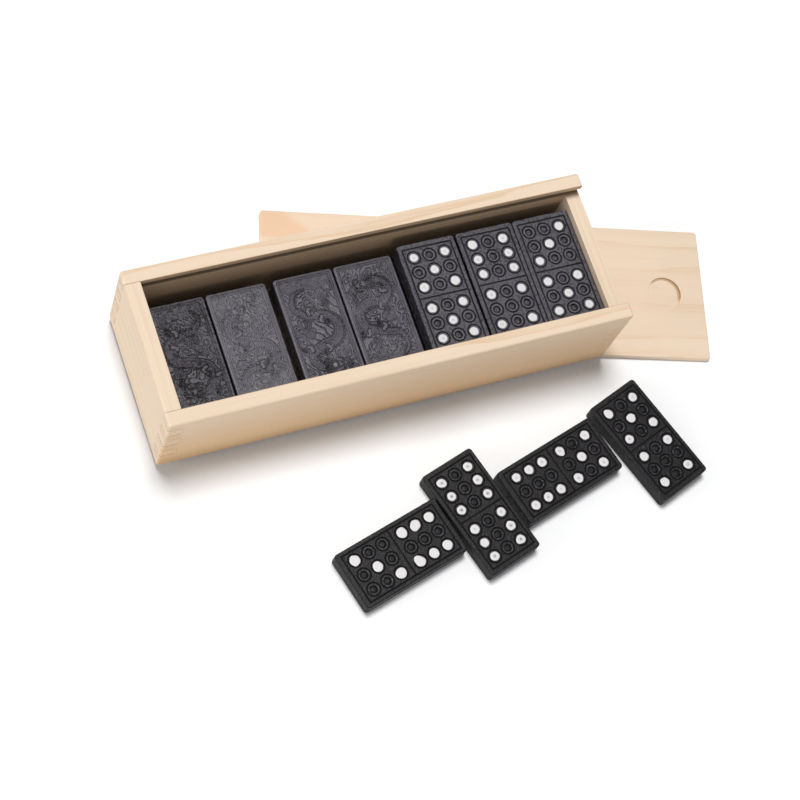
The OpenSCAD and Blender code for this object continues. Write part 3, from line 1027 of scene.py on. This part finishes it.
def legs(height, x, y, spine, tangent):
    """Four legs with claws."""
    for leg, way in ((0.3, 1), (0.38, -1), (0.68, 1), (0.77, -1)):
        i = int(leg * len(spine))
        ahead = tangent[i]
        out = np.array([-ahead[1], ahead[0]]) * way
        hip = spine[i] + out * 0.7
        knee = hip + out * 1.5 - ahead * 0.5
        foot = knee + out * 0.5 + ahead * 1.5
        stroke(height, x, y, [hip, knee, foot], 16, 0.62, 0.34, 0.95)
        for toe in (-0.9, -0.3, 0.3, 0.9):
            aim = math.cos(toe) * ahead + math.sin(toe) * out
            bend = -math.sin(toe) * ahead + math.cos(toe) * out
            claw = [foot, foot + aim * 0.65, foot + aim * 1.15 - bend * 0.22 * way]
            stroke(height, x, y, claw, 9, 0.2, 0.1, 1.0)


def head(height, x, y, neck, ahead):
    """The head with its mane, horns and whiskers."""
    out = np.array([-ahead[1], ahead[0]])

    def at(along, across):
        return neck + ahead * along + out * across

    for k in range(9):
        angle = -1.25 + 2.5 * k / 8
        strand = [at(0.2, 1.25 * math.sin(angle)), at(-0.9, 1.75 * math.sin(angle) + 0.35 * (-1) ** k),
                  at(-1.5 - 1.3 * math.cos(angle) - 0.3 * (k % 2), 2.5 * math.sin(angle))]
        stroke(height, x, y, strand, 14, 0.3, 0.07, 0.82)
    for way in (-1, 1):
        horn = [at(0.5, way * 0.6), at(-0.8, way * 1.15), at(-2.3, way)]
        stroke(height, x, y, horn, 14, 0.26, 0.1, 1.0)
        whisker = [at(2.5, way * 0.45), at(3.3, way * 1.1), at(2.7, way * 2.0), at(1.6, way * 2.3)]
        stroke(height, x, y, whisker, 18, 0.15, 0.07, 0.92)

    # Skull and snout, eyes, nostrils, brows and the fold over the snout
    along = (x - neck[0]) * ahead[0] + (y - neck[1]) * ahead[1]
    across = (x - neck[0]) * out[0] + (y - neck[1]) * out[1]
    skull = np.minimum(np.hypot((along - 0.7) / 1.35, across / 1.2),
                       np.hypot((along - 2.0) / 1.05, across / 0.72))
    height[skull < 1.22] = LOW
    height[skull < 1] = 1.0 - 0.25 * skull[skull < 1] ** 2
    for way in (-1, 1):
        eye = np.hypot(along - 1.05, across - way * 0.52)
        height[eye < 0.33] = LOW
        height[eye < 0.14] = 1.0
        height[np.hypot(along - 2.6, across - way * 0.26) < 0.14] = LOW
        brow = np.abs(across - way * (0.95 - 0.35 * (along - 0.6)))
        height[(brow < 0.1) & (np.abs(along - 0.9) < 0.7) & (skull < 0.95)] = LOW + 0.1
    fold = np.abs(along - 1.55 + 0.25 * np.abs(across))
    height[(fold < 0.11) & (np.abs(across) < 0.6)] = LOW + 0.1


def relief_height(x, y, half_l, half_w, style):
    """Height of the ornament on a back, from 0 to 1: a scaled serpent among curled clouds on a ground of
    fine winding lines, with waves at one end and a double line round it all."""
    rng = np.random.default_rng(style["seed"])
    x, y = x * style["turn"][0], y * style["turn"][1]
    height = np.where(curls(x, y, rng), 0.2, GROUND)
    waves(height, x, y, half_l)
    for centre_size_way in style["clouds"]:
        cloud(height, x, y, *centre_size_way, rng)
    serpent(height, x, y, style["spine"])

    edge = np.minimum(half_l - np.abs(x), half_w - np.abs(y))
    height[edge < 0.95] = GROUND
    height[np.abs(edge - 0.2) < 0.12] = 0.3
    height[np.abs(edge - 0.8) < 0.14] = 0.2

    shift = style["seed"]
    worn = 0.5 + 0.25 * (np.sin(x * 0.43 + shift) + np.sin(y * 0.61 + x * 0.27 + 2 * shift))
    height = GROUND + (height - GROUND) * style["depth"] * (0.62 + 0.38 * worn)
    return np.clip(height + style["rough"] * rng.standard_normal(x.shape), 0, 1)


def back_plate(sizes, spacing, style):
    """The ornament on a domino's back, as a thin plate that fills the sunk panel."""
    half_l = (sizes.length / 2 - sizes.back_rim) * MM
    half_w = (sizes.width / 2 - sizes.back_rim) * MM
    count_x, count_y = round(2 * half_l / spacing), round(2 * half_w / spacing)
    bpy.ops.object.select_all(action="DESELECT")
    bpy.ops.mesh.primitive_grid_add(x_subdivisions=count_x, y_subdivisions=count_y, size=2,
                                    location=(0, 0, 0), rotation=(math.pi, 0, 0))
    bpy.context.object.scale = (half_l, half_w, 1)
    plate = added()
    co = coordinates(plate)
    height = relief_height(co[:, 0], co[:, 1], half_l, half_w, style)
    # Painted shade in the ornament's grooves, more for lower places
    set_attribute(plate, "sunk", np.clip(1 - height / 0.5, 0, 1))
    co[:, 2] = INSIDE + sizes.back_depth * MM * (1 - height)
    plate.data.vertices.foreach_set("co", co.ravel())
    pick(plate, "EDGE", lambda edge: edge.is_boundary)
    bpy.ops.mesh.extrude_region_move(TRANSFORM_OT_translate={"value": (0, 0, PLATE)})
    bpy.ops.mesh.edge_face_add()
    bpy.ops.object.mode_set(mode="OBJECT")
    bpy.ops.object.shade_smooth_by_angle(angle=math.radians(60))
    return plate


def pip_dots(sizes, values, detail, seed, spread=1.0, bare=0.6, smeared=()):
    """The painted pips of a domino that lies face up with the middle of its back at the origin. The paint
    is thin in the middle of a pip by bare, and a few pips are smeared to one side."""
    rng = random.Random(seed)
    thick, radius = sizes.thickness * MM, sizes.pip_diameter * MM / 2 * spread
    dots = []
    for half, value in ((1, values[0]), (-1, values[1])):
        for along, across in pip_places(value):
            bpy.ops.object.select_all(action="DESELECT")
            bpy.ops.mesh.primitive_uv_sphere_add(segments=detail, ring_count=detail // 2, radius=1.0)
            dot = bpy.context.object
            x, y, z = coordinates(dot).T
            r = np.hypot(x, y)
            set_attribute(dot, "bare", bare * rng.uniform(0.4, 1.1) * np.exp(-(r / 0.45) ** 2)
                          + 0.5 * np.clip((r - 0.8) / 0.2, 0, 1))
            angle = np.arctan2(y, x)
            lobes = 1 + sum(rng.uniform(-0.035, 0.035) * np.cos(k * angle + rng.uniform(0, 6))
                            for k in (1, 2, 3, 5))
            if len(dots) in smeared:
                lobes = lobes + 0.32 * np.clip(np.cos(angle - rng.uniform(0, 6)), 0, 1) ** 4
            lobes = lobes * rng.uniform(0.94, 1.05)
            dimple = 0.05 * np.exp(-(r / 0.4) ** 2) * (z > 0)
            x = (x * radius * lobes + (half * sizes.half_offset + along * sizes.pitch_along) * MM
                 + rng.uniform(-0.08, 0.08))
            y = y * radius * lobes + across * sizes.pitch_across * MM + rng.uniform(-0.08, 0.08)
            z = thick - 0.02 + z * np.where(z > 0, 0.09, 0.3) - dimple
            dot.data.vertices.foreach_set("co", np.column_stack((x, y, z)).ravel())
            bpy.ops.object.shade_smooth()
            dots.append(dot)
    return join(dots, "dots") if dots else None


# How far the paint spreads, how bare its middles are and which pips are smeared
PAINT = {(6, 3): (1.12, 0.1, (2, 5)), (6, 6): (1.0, 0.8, (3, 8)), (5, 6): (1.0, 0.6, (1,)),
         (5, 4): (1.0, 0.6, (4,)), (5, 5): (0.95, 0.45, ()), (6, 4): (0.95, 0.45, ()),
         (3, 5): (0.95, 0.4, ())}

# The four layouts of the ornament, in millimetres from the middle of a back. A cloud is its centre, its
# size and the way it trails.
STYLES = {
    "a": {"seed": 3, "turn": (1, 1), "depth": 0.9, "rough": 0.05,
          "spine": [(15.2, 4.6), (12.2, 6.2), (8.8, 3.6), (7.6, -1.6), (4.6, -5.4), (0.2, -4.6), (-1.4, 0.4),
                    (-3.6, 5.0), (-8.2, 5.6), (-11.2, 2.4), (-10.6, -1.6)],
          "clouds": [(12.4, -4.6, 1.0, 1), (3.6, 3.6, 1.15, -1), (-4.8, -4.6, 1.1, 1), (-14.6, 5.2, 0.8, -1),
                     (-14.6, -5.2, 1.0, 1)]},
    "b": {"seed": 5, "turn": (-1, 1), "depth": 0.6, "rough": 0.02,
          "spine": [(14.6, -5.4), (11.0, -6.2), (8.0, -2.6), (8.6, 2.2), (5.6, 6.0), (1.2, 5.2), (-0.8, 0.6),
                    (-3.4, -4.6), (-8.2, -5.6), (-11.6, -2.2)],
          "clouds": [(13.2, 3.8, 1.1, 1), (3.2, -2.2, 1.1, 1), (-5.4, 3.6, 1.2, -1), (-12.6, 4.8, 0.9, 1)]},
    "c": {"seed": 8, "turn": (1, -1), "depth": 1.0, "rough": 0.03,
          "spine": [(14.0, 1.0), (12.6, 5.0), (8.0, 6.0), (5.0, 2.2), (4.4, -3.0), (0.4, -6.0), (-4.2, -4.4),
                    (-5.4, 0.4), (-8.0, 4.8), (-12.2, 3.6), (-12.6, -0.8)],
          "clouds": [(11.4, -4.0, 1.2, 1), (-0.2, 3.4, 1.2, -1), (-10.2, -5.4, 1.0, 1), (9.0, 1.2, 0.7, 1)]},
    "d": {"seed": 13, "turn": (-1, -1), "depth": 1.0, "rough": 0.04,
          "spine": [(15.0, -3.0), (11.6, -5.8), (7.0, -4.6), (5.4, 0.4), (3.0, 5.4), (-2.0, 6.0), (-5.0, 2.4),
                    (-4.8, -2.6), (-8.6, -5.4), (-12.2, -2.6), (-11.6, 1.6)],
          "clouds": [(11.2, 3.0, 1.25, 1), (0.4, -3.0, 1.2, 1), (-9.4, 6.0, 0.8, -1), (-15.0, -6.0, 0.7, 1)]},
}


def domino_place(values, face_up, turn):
    """Where a domino lies: from its own frame, face up over the origin, to its place on the table."""
    low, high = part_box(name_of("domino", values))
    middle = (low + high) / 2 * MM
    thick = bpy.context.scene.domino.thickness * MM
    matrix = Matrix.Translation((middle.x, middle.y, low.z * MM))
    matrix = matrix @ Matrix.Rotation(math.radians(turn), 4, "Z")
    if not face_up:
        matrix = matrix @ Matrix.Translation((0, 0, thick)) @ Matrix.Rotation(math.pi, 4, "X")
    return matrix


def masters(context):
    """The slabs and back plates that the dominoes are copied from, made once."""
    sizes = context.scene.domino
    made = {"fine": domino_body(sizes, True), "coarse": domino_body(sizes, False)}
    for key, style in STYLES.items():
        made["plate " + key] = back_plate(sizes, SHOWN, style)
    made["plate coarse"] = back_plate(sizes, HIDDEN, STYLES["c"])
    return made


MASTERS = {}


def master(context, name):
    if not MASTERS:
        MASTERS.update(masters(context))
        for obj in MASTERS.values():
            obj.hide_render = True
    return MASTERS[name]


def make_domino(context, values, face_up, turn, slab, plate, material, paint=None):
    """One domino, copied from its masters and carried to its place."""
    name, node = name_of("tile", values), name_of("domino", values)
    parts = [copy_of(master(context, slab), name), copy_of(master(context, plate), "plate")]
    for part in parts:
        part.data.materials.clear()
        part.data.materials.append(material)
        part.hide_render = False
    dots = pip_dots(context.scene.domino, values, 16, sum(values)) if paint else None
    if dots:
        dots.data.materials.clear()
        dots.data.materials.append(paint)
        parts.append(dots)
    tile = join(parts, name)
    place(tile, domino_place(values, face_up, turn))
    finish_piece(tile, node, [node], [material] + ([paint] if dots else []))


# How much greyer each finish of the plastic is, by wear and by painted sheen that makes the dominoes in the
# box lighter than the loose ones, how deep its grain and how strong its gloss
FINISHES = {"plastic loose": (-0.16, 0.6, 0.17), "plastic in the box": (0.62, 1.0, 0.36),
            "plastic back dark": (0.56, 0.6, 0.32), "plastic back grey": (0.82, 0.3, 0.4),
            "plastic back": (1.0, 0.5, 0.4)}


def plastics(context):
    """The finishes of the dominoes, made once."""
    colours = context.scene.domino_colours
    if "pip paint" not in bpy.data.materials:
        for name, look in FINISHES.items():
            plastic(name, tuple(colours.plastic), tuple(colours.worn_plastic), *look)
        pip_paint("pip paint", tuple(colours.paint))
    return bpy.data.materials


class DOMINOBOX_OT_face_up(bpy.types.Operator):
    """Make the seven dominoes that lie face up: three in the box and four in the line of play"""
    bl_idname = "dominobox.face_up"
    bl_label = "Face-up dominoes"
    bl_options = {"REGISTER", "UNDO"}

    def execute(self, context):
        finishes = plastics(context)
        for values, turn, finish in FACE_UP:
            make_domino(context, values, True, turn, "fine", "plate coarse", finishes[finish])
        return {"FINISHED"}


class DOMINOBOX_OT_shown_backs(bpy.types.Operator):
    """Make the four dominoes whose ornamented backs show at the closed end"""
    bl_idname = "dominobox.shown_backs"
    bl_label = "Shown backs"
    bl_options = {"REGISTER", "UNDO"}

    def execute(self, context):
        finishes = plastics(context)
        looks = [("plate a", "plastic back dark"), ("plate b", "plastic back grey"),
                 ("plate c", "plastic back"), ("plate d", "plastic back")]
        for values, (plate, finish) in zip(SHOWN_BACKS, looks):
            make_domino(context, values, False, ACROSS, "coarse", plate, finishes[finish],
                        finishes["pip paint"])
        return {"FINISHED"}


class DOMINOBOX_OT_covered(bpy.types.Operator):
    """Make the seventeen dominoes that lie under the others"""
    bl_idname = "dominobox.covered"
    bl_label = "Covered dominoes"
    bl_options = {"REGISTER", "UNDO"}

    def execute(self, context):
        finishes = plastics(context)
        for values in COVERED:
            make_domino(context, values, False, ACROSS, "coarse", "plate coarse",
                        finishes["plastic in the box"], finishes["pip paint"])
        for obj in MASTERS.values():
            bpy.data.objects.remove(obj)
        MASTERS.clear()
        return {"FINISHED"}


class DOMINOBOX_OT_pips(bpy.types.Operator):
    """Paint the pips of the dominoes that lie face up"""
    bl_idname = "dominobox.pips"
    bl_label = "Pips"
    bl_options = {"REGISTER", "UNDO"}

    def execute(self, context):
        paint = plastics(context)["pip paint"]
        for values, turn, _ in FACE_UP:
            dots = pip_dots(context.scene.domino, values, 32, 40 + sum(values), *PAINT[values])
            dots.name = name_of("dots", values)
            place(dots, domino_place(values, True, turn))
            finish_piece(dots, name_of("domino", values), [name_of("pips", values)], [paint])
        return {"FINISHED"}


# ---- stage ----

class DOMINOBOX_OT_stage(bpy.types.Operator):
    """Make the table, the soft studio light and the camera"""
    bl_idname = "dominobox.stage"
    bl_label = "Stage"
    bl_options = {"REGISTER", "UNDO"}

    def execute(self, context):
        stage, scene = context.scene.domino_stage, context.scene
        bpy.ops.object.select_all(action="DESELECT")
        bpy.ops.mesh.primitive_plane_add(size=8.0, location=(0, 0, 0))
        table = bpy.context.object
        table.name = "table"
        table.data.materials.append(floor_material("pale table", tuple(scene.domino_colours.floor)))

        for name, power, at, size in (("key", stage.key_power, (-0.02, 0.46, 2.0), 0.75),
                                      ("side", stage.side_power, (-2.0, 0.1, 0.35), 1.0),
                                      ("front", stage.front_power, (-0.3, -2.0, 0.35), 1.0)):
            bpy.ops.object.light_add(type="AREA", location=at)
            light = bpy.context.object
            light.name = name
            light.data.shape = "DISK"
            light.data.size = size
            light.data.energy = power
            light.rotation_euler = (-Vector(at)).to_track_quat("-Z", "Y").to_euler()

        scene.view_settings.view_transform = "Standard"
        scene.world = scene.world or bpy.data.worlds.new("studio")
        scene.world.use_nodes = True
        sky = next(node for node in scene.world.node_tree.nodes if node.type == "BACKGROUND")
        sky.inputs["Color"].default_value = (0.97, 0.985, 1.0, 1.0)
        sky.inputs["Strength"].default_value = stage.sky

        place_at, target = Vector(stage.camera_place), Vector(stage.camera_target)
        forward = (target - place_at).normalized()
        right = forward.cross(Vector((0, 0, 1))).normalized()
        up = right.cross(forward)
        turn = stage.camera_roll
        rolled_right = math.cos(turn) * right + math.sin(turn) * up
        rolled_up = -math.sin(turn) * right + math.cos(turn) * up
        data = bpy.data.cameras.new("camera")
        data.lens = stage.lens
        data.sensor_width = 36.0
        data.clip_start, data.clip_end = 0.01, 20.0
        camera = bpy.data.objects.new("camera", data)
        scene.collection.objects.link(camera)
        camera.matrix_world = Matrix.Translation(place_at) @ Matrix(
            (rolled_right, rolled_up, -forward)).transposed().to_4x4()
        scene.camera = camera
        return {"FINISHED"}


STEPS = [DOMINOBOX_OT_stage, DOMINOBOX_OT_side_walls, DOMINOBOX_OT_end_walls, DOMINOBOX_OT_bottom_panel,
         DOMINOBOX_OT_lid, DOMINOBOX_OT_face_up, DOMINOBOX_OT_shown_backs, DOMINOBOX_OT_covered,
         DOMINOBOX_OT_pips]


class DOMINOBOX_PT_panel(bpy.types.Panel):
    """Lists the sizes, the colours and the pieces"""
    bl_idname = "DOMINOBOX_PT_panel"
    bl_label = "Domino box"
    bl_space_type = "VIEW_3D"
    bl_region_type = "UI"
    bl_category = "Domino box"

    def draw(self, context):
        for group in ("domino_box", "domino_lid", "domino", "domino_colours", "domino_stage"):
            box = self.layout.box()
            settings = getattr(context.scene, group)
            for name in type(settings).__annotations__:
                box.prop(settings, name)
        for step in STEPS:
            self.layout.operator(step.bl_idname)


GROUPS = {"domino_box": DominoBoxSizes, "domino_lid": DominoBoxLid, "domino": DominoSizes,
          "domino_colours": DominoBoxColours, "domino_stage": DominoBoxStage}


def register():
    for group in GROUPS.values():
        bpy.utils.register_class(group)
    for step in STEPS:
        bpy.utils.register_class(step)
    bpy.utils.register_class(DOMINOBOX_PT_panel)
    for name, group in GROUPS.items():
        setattr(bpy.types.Scene, name, PointerProperty(type=group))


def unregister():
    for name in GROUPS:
        delattr(bpy.types.Scene, name)
    bpy.utils.unregister_class(DOMINOBOX_PT_panel)
    for step in STEPS:
        bpy.utils.unregister_class(step)
    for group in GROUPS.values():
        bpy.utils.unregister_class(group)


def main():
    register()
    bpy.ops.dominobox.stage()
    bpy.ops.dominobox.side_walls()
    bpy.ops.dominobox.end_walls()
    bpy.ops.dominobox.bottom_panel()
    bpy.ops.dominobox.lid()
    bpy.ops.dominobox.face_up()
    bpy.ops.dominobox.shown_backs()
    bpy.ops.dominobox.covered()
    bpy.ops.dominobox.pips()
    bpy.context.view_layer.update()


if __name__ == "__main__":
    main()
